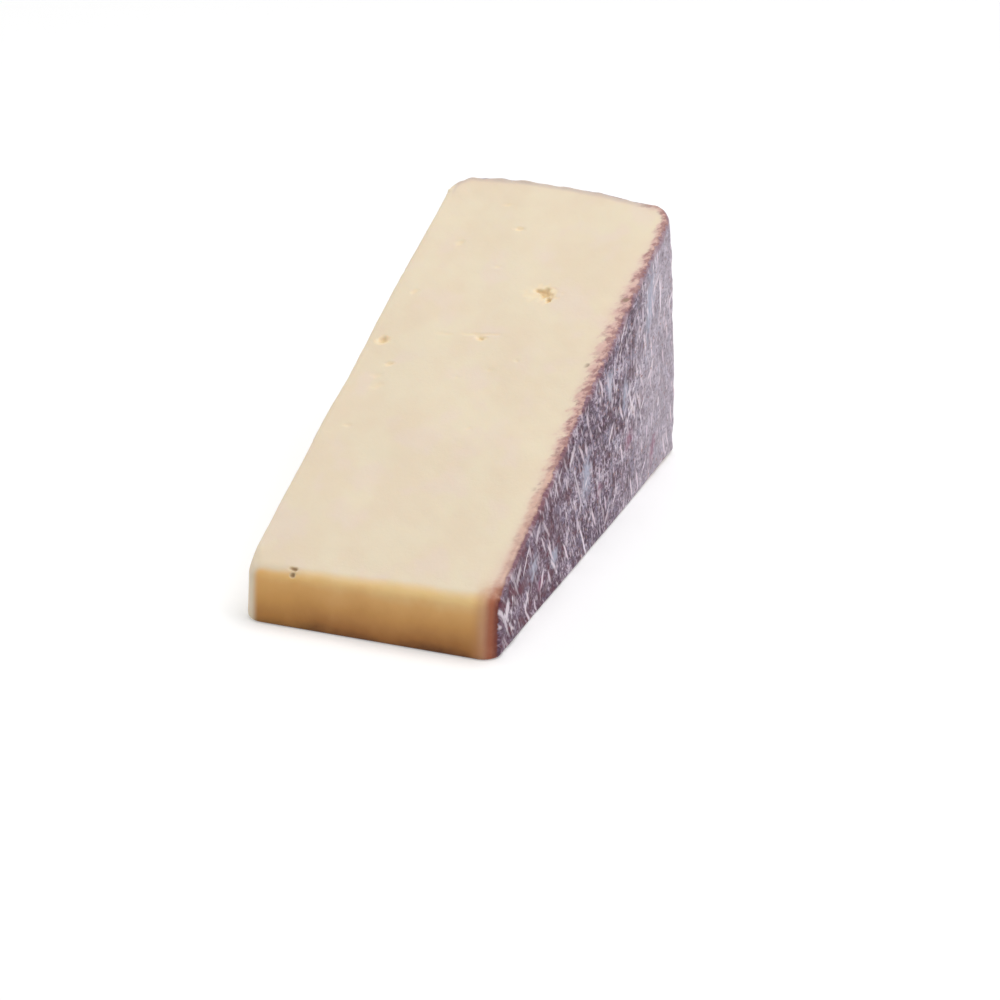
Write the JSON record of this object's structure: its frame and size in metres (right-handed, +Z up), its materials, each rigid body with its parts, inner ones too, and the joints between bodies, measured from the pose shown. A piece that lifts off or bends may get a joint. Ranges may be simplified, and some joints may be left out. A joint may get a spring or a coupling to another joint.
{
  "type": "wedge of hard wine-washed cheese",
  "caption": "Tapering wedge of firm pale cheese lying on a cut face, with a purple streaked rind on its flat side and rim and a trimmed tip.",
  "frame": {"origin": "middle of the bounding box's underside, on the long cut that the wedge lies on", "axes": "+Y from the trimmed tip to the rim, +X across the wheel's thickness towards the flat rind side, +Z up"},
  "size_m": [0.05, 0.1166, 0.0584],
  "materials": {
    "cheese": "satin cream cut paste; the flat side and the rim carry a dull purple rind with pale streaks"
  },
  "bodies": {
    "root": {"cheese_wedge": "cheese"}
  },
  "joints": []
}
